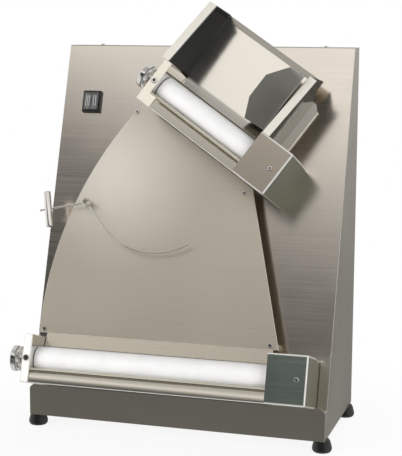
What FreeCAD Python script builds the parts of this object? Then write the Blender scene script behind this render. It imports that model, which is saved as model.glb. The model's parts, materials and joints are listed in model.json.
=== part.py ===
"""Dough sheeter with an inclined upper pair and a level lower pair of rollers.

Frames used below, all in millimetres:
  casing  x across, y towards the back, z up, from the bottom front edge of the casing
  panel   x across, y up the leaning front, z out of it, from the same edge
  unit    x along the rollers and 0 at the gear-box end, y across the end section,
          z from the rear edge of the end plates to their front edge
"""
import FreeCAD
import Part
import Sketcher
import math
import os

doc = FreeCAD.newDocument("DoughSheeter")
sheet = doc.addObject("Spreadsheet::Sheet", "Sizes")

DRIVING = dict(
    # casing
    casing_width=480, casing_height=581, casing_base_depth=225, casing_top_depth=35.3,
    sheet_gauge=1.5, flange_width=15.3, panel_bottom=117, clip_width=7.5, clip_height=14.5,
    skirt=2, top_screw_inset=50, vent_width=90, vent_height=6, vent_pitch=18, vent_base=330,
    vent_rows=6,
    # feet
    foot_height=22, foot_radius=15.5, foot_top_radius=11.5, foot_rim=3, foot_inset_x=7,
    foot_inset_y=17, foot_boss_radius=5, foot_stud_radius=3, foot_stud_reach=8,
    # kick panel
    shelf_level=45.8, shelf_depth=40, kick_corner=9,
    # roller units
    end_height=75, end_depth=113.5, end_plate=13.5, inner_plate=8, box_width=61,
    chamfer_run=52, upper_chamfer=2.3, lower_chamfer=9,
    upper_length=257, upper_tilt=34, upper_x=139.1, upper_level=350.6,
    lower_length=448, lower_x=224, lower_sink=21.5,
    roller_radius=21, roller_gap=1, roller_level=38, front_roller_depth=80.5,
    roller_travel=4, front_shaft_radius=7.5, rear_shaft_radius=8, roller_side_gap=1,
    gear_teeth=14, gear_width=12, gear_start=38, tooth_backlash=0.5, tooth_angle=25,
    tooth_tip=0.9, tooth_foot=1.2, shaft_end=2, shaft_recess=1, block_recess=0.5, nose_root=3,
    pulley_radius=18, pulley_flange=3, pulley_width=14, pulley_start=19, flange_gauge=1.5,
    belt_width=10, belt_gauge=2, motor_depth=58,
    motor_radius=27, motor_length=52, gearhead_half=29, gearhead_length=26,
    motor_shaft_radius=6, bracket_gauge=4, bracket_foot=25, bracket_gap=5, bracket_wall=5,
    block_half_height=11, block_half_depth=13, tie_radius=4, tie_inset=12,
    front_tie_level=18, lower_tie_level=20, front_tie_inset=8.5, blade_gauge=1.5, blade_width=17, blade_gap=1,
    knob_axis_depth=57, knob_radius=20, knob_grip=16, knob_neck_radius=13, knob_neck=22,
    knob_stand=0.5, knob_bevel=2, spindle_radius=5, cam_radius=8, cam_throw=2, cam_gauge=3, cam_gap=0.6,
    # hopper of the upper unit
    hopper_gauge=1.2, hopper_top=196.3, hopper_back_depth=30, hopper_fold=80, hopper_lip=64,
    hopper_lip_depth=41, left_wall_top=189, right_wall_top=185, wall_front_fall=16.5,
    wall_flange=12.6, wall_stand=1, wall_rear_step=16, wall_rear_fall=31,
    wall_rear_flange=13, wall_clip=9, wall_lip=4, hopper_overhang=5, hem_width=9.4, hem_gap=0.6,
    deflector_run=78, deflector_depth=76, deflector_low=111, deflector_high=154,
    deflector_crop=52, deflector_foot_crop=34, deflector_top=182, deflector_front_top=178,
    deflector_bottom=78,
    # front lips of both units
    lip_height=13.5, lip_depth=17, lip_gap=0.8, lip_tab_width=13, lip_tab_height=18,
    lower_lip_bend=9, lower_lip_height=15.5, lower_lip_setback=3,
    # slide plate
    plate_stand=34.5, plate_radius=577.7, plate_centre_x=353.6, plate_centre_level=133.8,
    plate_bottom=128, plate_right=166.4, plate_edge_slope=0.254,
    plate_lip_right=158, plate_lip_drop=21.8, plate_lip_rise=5.4,
    spacer_radius=6, screw_radius=2, screw_head_radius=3.6, screw_crown_radius=2.5,
    screw_head=2.2, screw_socket_radius=1.2, screw_length=12,
    end_screw_head_radius=5, end_screw_crown_radius=4.3, end_screw_socket_radius=2.2,
    hole_left_low=215, hole_low=134, hole_right_low=153, hole_right_high=91,
    hole_right_level=366, hole_left_high=97, hole_left_level=491,
    # balance
    stud_x=162, stud_level=338, stud_radius=4, wire_radius=1.6, wire_height=12.5,
    hub_radius=7, hub_width=10, cap_width=4, wire_run=45, wire_heading_angle=50, wire_bend=113,
    wire_sweep_angle=81, wire_left=80, wire_left_angle=12, weight_radius=5.5, weight_length=58,
    weight_place=66,
    # switch
    switch_x=190.5, switch_level=515, switch_width=32, switch_height=36, bezel_gauge=5,
    switch_depth=22, switch_body_width=27, switch_body_height=31, bezel_rim=4,
    button_travel=3, button_stand=2,
    # fits
    running_fit=0.05, slide_fit=0.06, part_gap=0.3, overrun=1,
    # gland
    gland_x=150, gland_level=60, gland_radius=9, gland_nut=12, gland_length=14, cable_bore=3.5,
)


class Size:
    """A length that knows both its value and the sheet expression that gives it."""

    def __init__(self, value, text):
        self.value = float(value)
        self.text = text

    def __add__(self, other):
        other = as_size(other)
        return Size(self.value + other.value, f"({self.text} + {other.text})")

    def __sub__(self, other):
        other = as_size(other)
        return Size(self.value - other.value, f"({self.text} - {other.text})")

    def __mul__(self, other):
        other = as_size(other)
        return Size(self.value * other.value, f"({self.text} * {other.text})")

    def __truediv__(self, other):
        other = as_size(other)
        return Size(self.value / other.value, f"({self.text} / {other.text})")

    def __neg__(self):
        return Size(-self.value, f"(0 - {self.text})")

    def __radd__(self, other):
        return as_size(other) + self

    def __rsub__(self, other):
        return as_size(other) - self

    def __rmul__(self, other):
        return as_size(other) * self

    def __rtruediv__(self, other):
        return as_size(other) / self


def as_size(number):
    if isinstance(number, Size):
        return number
    return Size(number, f"({float(number)!r})")


def root_of(size):
    return Size(math.sqrt(size.value), f"sqrt({size.text})")


def sine(angle):
    return Size(math.sin(math.radians(angle.value)), f"sin({angle.text} * 1 deg)")


def cosine(angle):
    return Size(math.cos(math.radians(angle.value)), f"cos({angle.text} * 1 deg)")


for row, (alias, value) in enumerate(DRIVING.items(), 1):
    sheet.set(f"A{row}", alias)
    sheet.set(f"B{row}", str(value))
    sheet.setAlias(f"B{row}", alias)
doc.recompute()


class Sheet:
    """The driving sizes, read back from the spreadsheet by name."""

    def __getattr__(self, alias):
        return Size(sheet.get(alias), f"Sizes.{alias}")


d = Sheet()
finished = []

# ---------------------------------------------------------------- derived sizes
half_width = d.casing_width / 2
gauge = d.sheet_gauge
slope_run = d.casing_base_depth - d.casing_top_depth
slope_length = root_of(slope_run * slope_run + d.casing_height * d.casing_height)
lean_sine = slope_run / slope_length
lean_cosine = d.casing_height / slope_length
lean = math.degrees(math.atan2(slope_run.value, d.casing_height.value))

pitch = 2 * d.roller_radius + d.roller_gap
rear_roller_depth = d.front_roller_depth - pitch
belt_radius = d.pulley_radius + d.part_gap
window_low = d.front_roller_depth - d.block_half_depth - d.part_gap
window_high = d.front_roller_depth + d.block_half_depth + d.roller_travel + d.part_gap

# ---------------------------------------------------------------- frames
Vector = FreeCAD.Vector
Rotation = FreeCAD.Rotation
Placement = FreeCAD.Placement


def frame_at(x, y, z, rotation=None):
    base = Vector(as_size(x).value, as_size(y).value, as_size(z).value)
    return Placement(base, rotation or Rotation())


CASING = frame_at(0, 0, d.foot_height)
PANEL = CASING.multiply(frame_at(0, 0, 0, Rotation(Vector(1, 0, 0), 90 - lean)))
UPPER = PANEL.multiply(
    frame_at(d.upper_x, d.upper_level, gauge, Rotation(Vector(0, 0, 1), -d.upper_tilt.value)))
LOWER = PANEL.multiply(frame_at(d.lower_x, d.shelf_level, -d.lower_sink))
ACROSS = Rotation(Vector(0, 1, 0), Vector(0, 0, 1), Vector(1, 0, 0), "XYZ")
TURNS = {
    "x": Rotation(Vector(0, 1, 0), 90),
    "y": Rotation(Vector(1, 0, 0), -90),
    "z": Rotation(),
}


# ---------------------------------------------------------------- building blocks
def bind(item, prop, size):
    item.setExpression(prop, as_size(size).text)


def move_to(item, x, y, z):
    bind(item, "Placement.Base.x", x)
    bind(item, "Placement.Base.y", y)
    bind(item, "Placement.Base.z", z)
    return item


def block(x, y, z):
    """A box between three pairs of bounds."""
    item = doc.addObject("Part::Box", "block")
    bind(item, "Length", x[1] - as_size(x[0]))
    bind(item, "Width", y[1] - as_size(y[0]))
    bind(item, "Height", z[1] - as_size(z[0]))
    return move_to(item, x[0], y[0], z[0])


def aim(item, along, at, low):
    """Point a turned primitive along one axis, through at, from low."""
    item.Placement = Placement(Vector(), TURNS[along])
    spots = {"x": (low, *at), "y": (at[0], low, at[1]), "z": (*at, low)}
    return move_to(item, *spots[along])


def rod(radius, low, high, at=(0, 0), along="x"):
    item = doc.addObject("Part::Cylinder", "rod")
    bind(item, "Radius", radius)
    bind(item, "Height", high - as_size(low))
    return aim(item, along, at, low)


def taper(low_radius, high_radius, low, high, at=(0, 0), along="z"):
    item = doc.addObject("Part::Cone", "taper")
    bind(item, "Radius1", low_radius)
    bind(item, "Radius2", high_radius)
    bind(item, "Height", high - as_size(low))
    return aim(item, along, at, low)


def cut(base, *tools):
    result = doc.addObject("Part::Cut", "cut")
    result.Base = base
    result.Tool = tools[0] if len(tools) == 1 else gather(*tools)
    return result


def gather(*pieces):
    result = doc.addObject("Part::MultiFuse", "gather")
    result.Shapes = list(pieces)
    return result


def common(first, second):
    result = doc.addObject("Part::Common", "common")
    result.Base = first
    result.Tool = second
    return result


def placed(frame, *pieces):
    result = doc.addObject("Part::Compound", "placed")
    result.Links = list(pieces)
    result.Placement = frame
    return result


def outline(points, low, high, across=False):
    """A prism on a closed outline, from low to high along z, or along x when across."""
    body = doc.addObject("PartDesign::Body", "body")
    sketch = body.newObject("Sketcher::SketchObject", "sketch")
    flat = next(f for f in body.Origin.OriginFeatures if f.Role == "XY_Plane")
    sketch.AttachmentSupport = [(flat, "")]
    sketch.MapMode = "FlatFace"
    corners = [(as_size(a), as_size(b)) for a, b in points]
    spots = [Vector(a.value, b.value, 0) for a, b in corners]
    sketch.addGeometry(
        [Part.LineSegment(spots[i], spots[(i + 1) % len(spots)]) for i in range(len(spots))])
    for i in range(len(spots)):
        sketch.addConstraint(Sketcher.Constraint("Coincident", i, 2, (i + 1) % len(spots), 1))
    for i, corner in enumerate(corners):
        for kind, size in zip(("DistanceX", "DistanceY"), corner):
            index = sketch.addConstraint(Sketcher.Constraint(kind, -1, 1, i, 1, size.value))
            sketch.setExpression(f"Constraints[{index}]", size.text)
    sketch.setExpression("AttachmentOffset.Base.z", as_size(low).text)
    pad = body.newObject("PartDesign::Pad", "pad")
    pad.Profile = sketch
    bind(pad, "Length", high - as_size(low))
    body.Placement = Placement(Vector(), ACROSS if across else Rotation())
    return body


def sub_part(name, frame, *pieces):
    """Close one named sub-part: its separate solids, set in their frame."""
    item = doc.addObject("Part::Compound", name)
    item.Label = name
    item.Links = list(pieces)
    item.Placement = frame
    finished.append(item)
    return item


def corner_offcut(x, top, radius, side):
    """What a round corner takes off a panel whose corner is at (x, top), along y."""
    centre_x = x - side * radius
    corner = block(sorted((centre_x, x), key=lambda s: s.value),
                   (-radius, 3 * radius), (top - radius, top + radius))
    return cut(corner, rod(radius, -2 * radius, 4 * radius, (centre_x, top - radius), "y"))


# ---------------------------------------------------------------- casing
def build_side_panel(side, name):
    inner = half_width - gauge
    bounds = (inner, half_width) if side > 0 else (-half_width, -inner)
    flange = (half_width - d.flange_width, inner) if side > 0 else (-inner, d.flange_width - half_width)
    profile = [(0, 0), (0, -d.skirt), (d.casing_base_depth, -d.skirt),
               (d.casing_base_depth, d.casing_height), (slope_run, d.casing_height)]
    wall = outline(profile, *bounds, across=True)
    lip = block(flange, (4 * gauge, slope_length - gauge), (-gauge, 0))
    lip = placed(frame_at(0, 0, 0, Rotation(Vector(1, 0, 0), 90 - lean)), lip)
    sub_part(name, CASING, gather(wall, lip))


def top_screw_spots():
    across = half_width - d.top_screw_inset
    middle = d.casing_base_depth - d.casing_top_depth / 2
    return [(-across, middle), (across, middle)]


def build_front_panel(belt_windows):
    low = d.panel_bottom
    top = slope_length + gauge * lean_sine
    inner = half_width - d.clip_width
    face = outline([(-inner, low), (inner, low), (half_width, low + d.clip_height),
                    (half_width, top), (-half_width, top), (-half_width, low + d.clip_height)],
                   0, gauge)
    cover = block((-half_width, half_width), (slope_run - gauge * lean_cosine, d.casing_base_depth),
                  (d.casing_height, d.casing_height + gauge))
    bores = [rod(d.screw_radius + d.running_fit, d.casing_height - gauge,
                 d.casing_height + 2 * gauge, spot, "z") for spot in top_screw_spots()]
    cover = placed(PANEL.inverse().multiply(CASING), cut(cover, *bores))
    half_w = d.switch_body_width / 2 + d.part_gap
    half_h = d.switch_body_height / 2 + d.part_gap
    switch_hole = block((-d.switch_x - half_w, -d.switch_x + half_w),
                        (d.switch_level - half_h, d.switch_level + half_h), (-gauge, 2 * gauge))
    sub_part("front_panel", PANEL, cut(gather(face, cover), switch_hole, *belt_windows))


def build_rear_cover():
    inner = half_width - gauge
    wall = block((-inner, inner), (d.casing_base_depth - gauge, d.casing_base_depth),
                 (gauge, d.casing_height))
    slots = []
    for column in (-1, 1):
        for row in range(int(round(d.vent_rows.value))):
            middle = column * (d.vent_width / 2 + d.vent_pitch)
            low = d.vent_base + row * d.vent_pitch
            slots.append(block((middle - d.vent_width / 2, middle + d.vent_width / 2),
                               (d.casing_base_depth - 2 * gauge, d.casing_base_depth + gauge),
                               (low, low + d.vent_height)))
    hole = rod(d.gland_radius + d.part_gap, d.casing_base_depth - 2 * gauge,
               d.casing_base_depth + gauge, (-d.gland_x, d.gland_level), "y")
    sub_part("rear_cover", CASING, cut(wall, hole, *slots))


def foot_spots():
    across = half_width - d.foot_inset_x
    return [(side * across, y) for side in (-1, 1)
            for y in (d.foot_inset_y, d.casing_base_depth - d.foot_inset_y)]


def build_base_and_feet():
    inner = half_width - gauge
    bores = [rod(d.foot_stud_radius + d.running_fit, -gauge, 2 * gauge, spot, "z")
             for spot in foot_spots()]
    floor = block((-inner, inner), (gauge, d.casing_base_depth - gauge), (0, gauge))
    sub_part("base_plate", CASING, cut(floor, *bores))
    feet = []
    for spot in foot_spots():
        rim = rod(d.foot_radius, -d.foot_height, d.foot_rim - d.foot_height, spot, "z")
        bell = taper(d.foot_radius, d.foot_top_radius, d.foot_rim - d.foot_height, -d.skirt, spot)
        boss = rod(d.foot_boss_radius, -2 * d.skirt, 0, spot, "z")
        stud = rod(d.foot_stud_radius, -d.foot_rim, d.foot_stud_reach, spot, "z")
        feet.append(gather(rim, bell, boss, stud))
    sub_part("rubber_feet", CASING, *feet)


def build_kick_panel():
    """Upright sheet under the lower unit; its shelf turns in square to the leaning front."""
    top = d.shelf_level / lean_cosine
    slope = lean_sine / lean_cosine
    shelf_y = d.shelf_depth * lean_cosine
    shelf_z = top - d.shelf_depth * lean_sine
    inner = half_width - gauge
    clear = half_width - d.flange_width - d.part_gap
    upright = outline([(0, -d.skirt), (0, top), (gauge, top - gauge * slope), (gauge, -d.skirt)],
                      -inner, inner, across=True)
    shelf = outline([(gauge / 2, top - gauge / 2 * slope), (shelf_y, shelf_z),
                     (shelf_y - gauge * lean_sine, shelf_z - gauge * lean_cosine),
                     (gauge / 2, top - gauge / lean_cosine - gauge / 2 * slope)],
                    -clear, clear, across=True)
    cheek = [(0, 0), (0, top), (top * slope, top)]
    cheeks = [outline(cheek, -half_width, -inner, across=True),
              outline(cheek, inner, half_width, across=True)]
    whole = gather(upright, shelf, *cheeks)
    sub_part("kick_panel", CASING,
             cut(whole, corner_offcut(half_width, top, d.kick_corner, 1),
                 corner_offcut(-half_width, top, d.kick_corner, -1)))


def build_cable_gland():
    back = d.casing_base_depth
    at = (-d.gland_x, d.gland_level)
    barrel = rod(d.gland_radius, back - d.gland_length, back + d.gland_length, at, "y")
    collar = rod(d.gland_nut, back, back + gauge * 3, at, "y")
    bore = rod(d.cable_bore, back - 2 * d.gland_length, back + 2 * d.gland_length, at, "y")
    sub_part("cable_gland", CASING, cut(gather(barrel, collar), bore))


# ---------------------------------------------------------------- slide plate
plate_back = gauge + d.plate_stand
tilt_sine = sine(d.upper_tilt)
tilt_cosine = cosine(d.upper_tilt)


def hole_spots():
    return [(-d.hole_left_low, d.hole_low), (d.hole_right_low, d.hole_low),
            (d.hole_right_high, d.hole_right_level), (-d.hole_left_high, d.hole_left_level)]


def screw(spot, seat, wide=False):
    """A pan-head screw standing along z with its head on seat."""
    shank = rod(d.screw_radius, seat - d.screw_length, seat, spot, "z")
    head_radius = d.end_screw_head_radius if wide else d.screw_head_radius
    crown_radius = d.end_screw_crown_radius if wide else d.screw_crown_radius
    socket_radius = d.end_screw_socket_radius if wide else d.screw_socket_radius
    head = taper(head_radius, crown_radius, seat, seat + d.screw_head, spot)
    socket = rod(socket_radius, seat + d.screw_head / 2, seat + 2 * d.screw_head, spot, "z")
    return cut(gather(shank, head), socket)


def build_slide_plate():
    edge_x = d.upper_x - tilt_sine
    edge_level = d.upper_level - tilt_cosine
    along = (edge_x - d.plate_right + d.plate_edge_slope * (edge_level - d.plate_bottom)) \
        / (tilt_cosine - d.plate_edge_slope * tilt_sine)
    right_top = (edge_x - tilt_cosine * along, edge_level + tilt_sine * along)
    left = d.plate_centre_x - d.plate_radius - gauge
    left_top = edge_level + (edge_x - left) * tilt_sine / tilt_cosine
    shape = outline([(left, d.plate_bottom), (d.plate_right, d.plate_bottom), right_top,
                     (left, left_top)], plate_back, plate_back + gauge)
    disc = rod(d.plate_radius, plate_back - gauge, plate_back + 2 * gauge,
               (d.plate_centre_x, d.plate_centre_level), "z")
    low = d.plate_bottom - d.plate_lip_drop
    lip_left = d.lower_length - d.lower_x - d.end_plate - d.lip_gap
    lip = outline([(d.plate_bottom + gauge, plate_back), (d.plate_bottom + gauge, plate_back + gauge),
                   (d.plate_bottom, plate_back + gauge),
                   (low, plate_back + gauge + d.plate_lip_rise), (low, plate_back + d.plate_lip_rise),
                   (d.plate_bottom, plate_back)],
                  -lip_left, d.plate_lip_right, across=True)
    holes = [rod(d.screw_radius + d.running_fit, plate_back - gauge, plate_back + 2 * gauge, spot, "z")
             for spot in hole_spots()]
    stud_hole = rod(d.stud_radius, plate_back - gauge, plate_back + 2 * gauge,
                    (-d.stud_x, d.stud_level), "z")
    sub_part("slide_plate", PANEL, cut(gather(common(shape, disc), lip), stud_hole, *holes))
    tubes = [cut(rod(d.spacer_radius, gauge, plate_back, spot, "z"),
                 rod(d.screw_radius + d.running_fit, 0, plate_back + gauge, spot, "z"))
             for spot in hole_spots()]
    sub_part("plate_spacers", PANEL, *tubes)
    sub_part("plate_screws", PANEL, *[screw(spot, plate_back + gauge) for spot in hole_spots()])


# ---------------------------------------------------------------- balance
def build_balance():
    """A bent wire that turns on a stud, with a cross bar as its weight."""
    centre = plate_back + gauge + d.wire_height
    hub_low = centre - d.hub_width / 2
    hub_high = centre + d.hub_width / 2
    base = plate_back
    at = (-d.stud_x, d.stud_level)
    stud = gather(rod(d.stud_radius, base, hub_high + d.cap_width, at, "z"),
                  rod(d.hub_radius, plate_back + gauge, hub_low - d.part_gap, at, "z"),
                  taper(d.hub_radius, d.stud_radius, hub_high + d.part_gap,
                        hub_high + d.cap_width, at))
    sub_part("balance_stud", PANEL, stud)

    pivot = PANEL.multiply(frame_at(-d.stud_x, d.stud_level, centre))
    hub = rod(d.hub_radius, -d.hub_width / 2, d.hub_width / 2, (0, 0), "z")
    run = placed(frame_at(0, 0, 0, Rotation(Vector(0, 0, 1), -d.wire_heading_angle.value)),
                 rod(d.wire_radius, 0, d.wire_run))
    ring = doc.addObject("Part::Torus", "wire_bend")
    bind(ring, "Radius1", d.wire_bend)
    bind(ring, "Radius2", d.wire_radius)
    bind(ring, "Angle3", d.wire_sweep_angle)
    heading = d.wire_heading_angle
    x = d.wire_run * cosine(heading) + d.wire_bend * sine(heading)
    y = d.wire_bend * cosine(heading) - d.wire_run * sine(heading)
    bend = placed(frame_at(x, y, 0, Rotation(Vector(0, 0, 1), -90 - heading.value)), ring)
    left_turn = Rotation(Vector(0, 0, 1), 180 + d.wire_left_angle.value)
    arm = placed(frame_at(0, 0, 0, left_turn), rod(d.wire_radius, 0, d.wire_left))
    bore = rod(d.stud_radius + d.running_fit, -d.hub_width, d.hub_width, (0, 0), "z")
    sub_part("balance_wire", pivot, cut(gather(hub, run, bend, arm), bore))
    bar = cut(rod(d.weight_radius, -d.weight_length / 2, d.weight_length / 2,
                  (d.weight_place, 0), "y"),
              rod(d.wire_radius, d.weight_place - 2 * d.weight_radius,
                  d.weight_place + 2 * d.weight_radius))
    sub_part("balance_weight", pivot.multiply(frame_at(0, 0, 0, left_turn)), bar)
    return pivot


# ---------------------------------------------------------------- switch
def build_switch():
    """A framed pair of push buttons on the front panel."""
    here = PANEL.multiply(frame_at(-d.switch_x, d.switch_level, gauge))
    half_w = d.switch_width / 2
    half_h = d.switch_height / 2
    bezel = block((-half_w, half_w), (-half_h, half_h), (0, d.bezel_gauge))
    body_w = d.switch_body_width / 2
    body_h = d.switch_body_height / 2
    case = block((-body_w, body_w), (-body_h, body_h), (-d.switch_depth, 0))
    well_w = half_w - d.bezel_rim
    well_h = half_h - d.bezel_rim
    button_back = -d.part_gap
    floor = button_back - d.button_travel - d.part_gap
    well = block((-well_w, well_w), (-well_h, well_h), (floor, 2 * d.bezel_gauge))
    sub_part("switch_body", here, cut(gather(bezel, case), well))
    top = d.bezel_gauge + d.button_stand
    for name, side in (("start_button", -1), ("stop_button", 1)):
        edges = sorted((side * d.part_gap / 2, side * (well_w - d.part_gap)), key=lambda s: s.value)
        sub_part(name, here, block(edges, (d.part_gap - well_h, well_h - d.part_gap),
                                   (button_back, top)))
    return here


# ---------------------------------------------------------------- roller units
def end_section(chamfer, inset=0, rear=0):
    """The outline of a unit's end, as (across, depth) pairs."""
    return [(as_size(inset), as_size(rear)), (d.end_height - chamfer - inset, as_size(rear)),
            (d.end_height - inset, d.chamfer_run), (d.end_height - inset, d.end_depth - inset),
            (as_size(inset), d.end_depth - inset)]


def gear(width_low, width_high, depth, turned_by):
    """A spur gear on the roller pitch circle, with involute flanks."""
    teeth = int(round(d.gear_teeth.value))
    module = pitch.value / teeth
    pitch_radius = pitch.value / 2
    base_radius = pitch_radius * math.cos(math.radians(d.tooth_angle.value))
    tip_radius = pitch_radius + d.tooth_tip.value * module
    foot_radius = pitch_radius - d.tooth_foot.value * module
    half_tooth = math.pi / (2 * teeth) - d.tooth_backlash.value / (4 * pitch_radius)

    def spread(radius):
        angle = math.acos(min(1, base_radius / radius))
        return math.tan(angle) - angle

    flank = []
    for step in range(6):
        radius = base_radius + (tip_radius - base_radius) * step / 5
        flank.append((radius, half_tooth + spread(pitch_radius) - spread(radius)))
    flank.insert(0, (foot_radius, flank[0][1]))
    points = []
    for tooth in range(teeth):
        middle = 2 * math.pi * tooth / teeth + math.radians(90) + turned_by * math.pi / teeth
        for radius, half in flank:
            points.append((radius, middle - half))
        for radius, half in reversed(flank):
            points.append((radius, middle + half))
    ring = [Vector(r * math.cos(a), r * math.sin(a), 0) for r, a in points]
    face = Part.Face(Part.makePolygon(ring + ring[:1]))
    solid = face.extrude(Vector(0, 0, (width_high - width_low).value))
    item = doc.addObject("Part::Feature", "toothed_ring")
    item.Shape = solid
    item.Placement = Placement(
        Vector(width_low.value, d.roller_level.value, depth.value), ACROSS)
    return item


def build_unit(prefix, frame, length, chamfer, motor_side):
    def name(word):
        return f"{prefix}_{word}"

    level = d.roller_level
    front = (level, d.front_roller_depth)
    rear = (level, rear_roller_depth)
    plate_in = d.end_plate - length
    box_in = -d.box_width
    inner_out = box_in + d.inner_plate
    fit = d.running_fit
    over = d.overrun
    block_low = d.front_roller_depth - d.block_half_depth
    block_high = d.front_roller_depth + d.block_half_depth

    def window(low, high):
        half = d.block_half_height + d.slide_fit
        return block((low - gauge, high + gauge), (level - half, level + half),
                     (window_low, window_high))

    # frame of the unit
    knob_axis = (level, d.knob_axis_depth)
    screw_axis = (level, -length + d.end_plate / 2)
    cam_low = plate_in - d.part_gap - d.cam_gauge
    cam_high = plate_in - d.part_gap
    nose_half = d.block_half_height / 2
    nose_low = d.knob_axis_depth + d.cam_radius - d.cam_throw + d.cam_gap
    left = outline(end_section(chamfer), -length, plate_in, across=True)
    lip_start = plate_in + d.lip_gap
    if motor_side > 0:
        lip_start += d.lip_tab_width
        left = gather(left, block((plate_in - over, plate_in + d.lip_tab_width),
                                  (0, d.lip_tab_height), (d.end_depth - gauge, d.end_depth)))
    left = cut(left, window(-length, plate_in),
               rod(d.cam_radius + d.cam_throw + d.part_gap, cam_low - d.part_gap, plate_in + over,
                   knob_axis),
               block((cam_low - d.part_gap, plate_in + over),
                     (level - nose_half - d.slide_fit, level + nose_half + d.slide_fit),
                     (d.knob_axis_depth, window_low + over)),
               rod(d.rear_shaft_radius + fit, -length - over, plate_in + over, rear),
               rod(d.spindle_radius + fit, -length - over, plate_in + over, knob_axis),
               rod(d.screw_radius + fit, window_high - over, d.end_depth + over,
                   (screw_axis[1], screw_axis[0]), "z"))
    sub_part(name("left_end_plate"), frame, left)

    right = outline(end_section(chamfer, gauge), box_in, inner_out, across=True)
    right = cut(right, window(box_in, inner_out),
                rod(d.rear_shaft_radius + fit, box_in - over, inner_out + over, rear))
    sub_part(name("right_end_plate"), frame, right)

    shell = outline(end_section(chamfer), box_in, 0, across=True)
    cavity = outline(end_section(chamfer, gauge, -over), box_in - over, -gauge, across=True)
    cover_screw = (-d.box_width / 4, level)
    bore = rod(d.screw_radius + fit, d.end_depth - 2 * gauge, d.end_depth + over, cover_screw, "z")
    sub_part(name("gear_cover"), frame, cut(shell, cavity, bore))

    # tie bars and scrapers span the end plates
    top_level = d.end_height - d.tie_inset - d.tie_radius
    front_level = d.front_tie_level if motor_side > 0 else d.lower_tie_level
    ties = [(top_level, d.tie_inset), (as_size(d.tie_inset), d.tie_inset),
            (front_level, d.end_depth - d.front_tie_inset)]
    sub_part(name("tie_bars"), frame, *[rod(d.tie_radius, plate_in, box_in, at) for at in ties])
    blade_top = level - d.roller_radius - d.blade_gap
    blades = [block((plate_in, box_in), (blade_top - d.blade_gauge, blade_top), span) for span in (
        (rear_roller_depth - d.blade_width, rear_roller_depth),
        (d.front_roller_depth, d.front_roller_depth + d.blade_width))]
    sub_part(name("scrapers"), frame, *blades)

    # rollers on their shafts, with the pair of gears
    sleeve_low = plate_in + d.roller_side_gap
    sleeve_high = box_in - d.roller_side_gap
    gear_high = -d.gear_start
    gear_low = gear_high - d.gear_width
    for word, axis, radius, end in (("front", front, d.front_shaft_radius, gear_high + d.shaft_end),
                                    ("rear", rear, d.rear_shaft_radius, d.shaft_end - d.pulley_start)):
        sleeve = cut(rod(d.roller_radius, sleeve_low, sleeve_high, axis),
                     rod(radius, sleeve_low - over, sleeve_high + over, axis))
        sub_part(name(f"{word}_roller"), frame, sleeve)
        sub_part(name(f"{word}_shaft"), frame, rod(radius, d.shaft_recess - length, end, axis))
        wheel = gear(gear_low, gear_high, axis[1], 1 if word == "front" else 0)
        sub_part(name(f"{word}_gear"), frame,
                 cut(wheel, rod(radius, gear_low - over, gear_high + over, axis)))

    # slide blocks that carry the front shaft; the left one has the nose that the cam pushes
    half = d.block_half_height
    blocks = []
    for low, high in ((d.block_recess - length, plate_in), (box_in, inner_out)):
        body = block((low, high), (level - half, level + half), (block_low, block_high))
        if high is plate_in:
            nose = block((cam_low, cam_high), (level - nose_half, level + nose_half),
                         (nose_low, block_low + d.nose_root))
            body = gather(body, nose)
        journal = rod(d.front_shaft_radius + fit, low - over, high + over, front)
        blocks.append(cut(body, journal))
    sub_part(name("slide_blocks"), frame, *blocks)

    # thickness knob with its spindle and cam
    out = -length - d.knob_stand
    neck = out - d.knob_neck
    cam_axis = (level, d.knob_axis_depth - d.cam_throw)
    grip = neck - d.knob_grip
    knob = gather(
        rod(d.knob_neck_radius, neck, out, knob_axis),
        rod(d.knob_radius, grip + d.knob_bevel, neck, knob_axis),
        taper(d.knob_radius - d.knob_bevel, d.knob_radius, grip, grip + d.knob_bevel,
              knob_axis, "x"),
        rod(d.spindle_radius, out, cam_low, knob_axis),
        rod(d.cam_radius, cam_low, cam_high, cam_axis))
    sub_part(name("thickness_knob"), frame, knob)

    # belt drive from the gear motor behind the front panel
    pulley_high = -d.pulley_start
    pulley_low = pulley_high - d.pulley_width
    motor_axis = (level, -d.motor_depth)

    def pulley(axis):
        return [rod(d.pulley_radius, pulley_low, pulley_high, axis),
                rod(d.pulley_radius + d.pulley_flange, pulley_low, pulley_low + d.flange_gauge, axis),
                rod(d.pulley_radius + d.pulley_flange, pulley_high - d.flange_gauge, pulley_high, axis)]

    sub_part(name("drive_pulley"), frame,
             cut(gather(*pulley(rear)),
                 rod(d.rear_shaft_radius, pulley_low - over, pulley_high + over, rear)))
    if motor_side > 0:
        face = pulley_high + d.bracket_gap
        bracket = (face, face + d.bracket_gauge)
        head = (bracket[1], bracket[1] + d.gearhead_length)
        can = (head[1], head[1] + d.motor_length)
        stub = (pulley_high, head[1] - d.bracket_gap)
        foot = (face, face + d.bracket_foot)
        foot_top = -gauge
    else:
        face = pulley_low - d.bracket_gap
        bracket = (face - d.bracket_gauge, face)
        head = (bracket[0] - d.gearhead_length, bracket[0])
        can = (head[0] - d.motor_length, head[0])
        stub = (head[0] + d.bracket_gap, pulley_low)
        foot = (box_in, face)
        foot_top = as_size(0)
    sub_part(name("motor_pulley"), frame,
             gather(*pulley(motor_axis), rod(d.motor_shaft_radius, *stub, motor_axis)))

    belt_low = pulley_low + (d.pulley_width - d.belt_width) / 2
    belt_high = belt_low + d.belt_width

    def loop(radius, low, high):
        return gather(block((low, high), (level - radius, level + radius),
                            (-d.motor_depth, rear_roller_depth)),
                      rod(radius, low, high, rear), rod(radius, low, high, motor_axis))

    sub_part(name("drive_belt"), frame,
             cut(loop(belt_radius + d.belt_gauge, belt_low, belt_high),
                 loop(belt_radius, belt_low - over, belt_high + over)))

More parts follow.
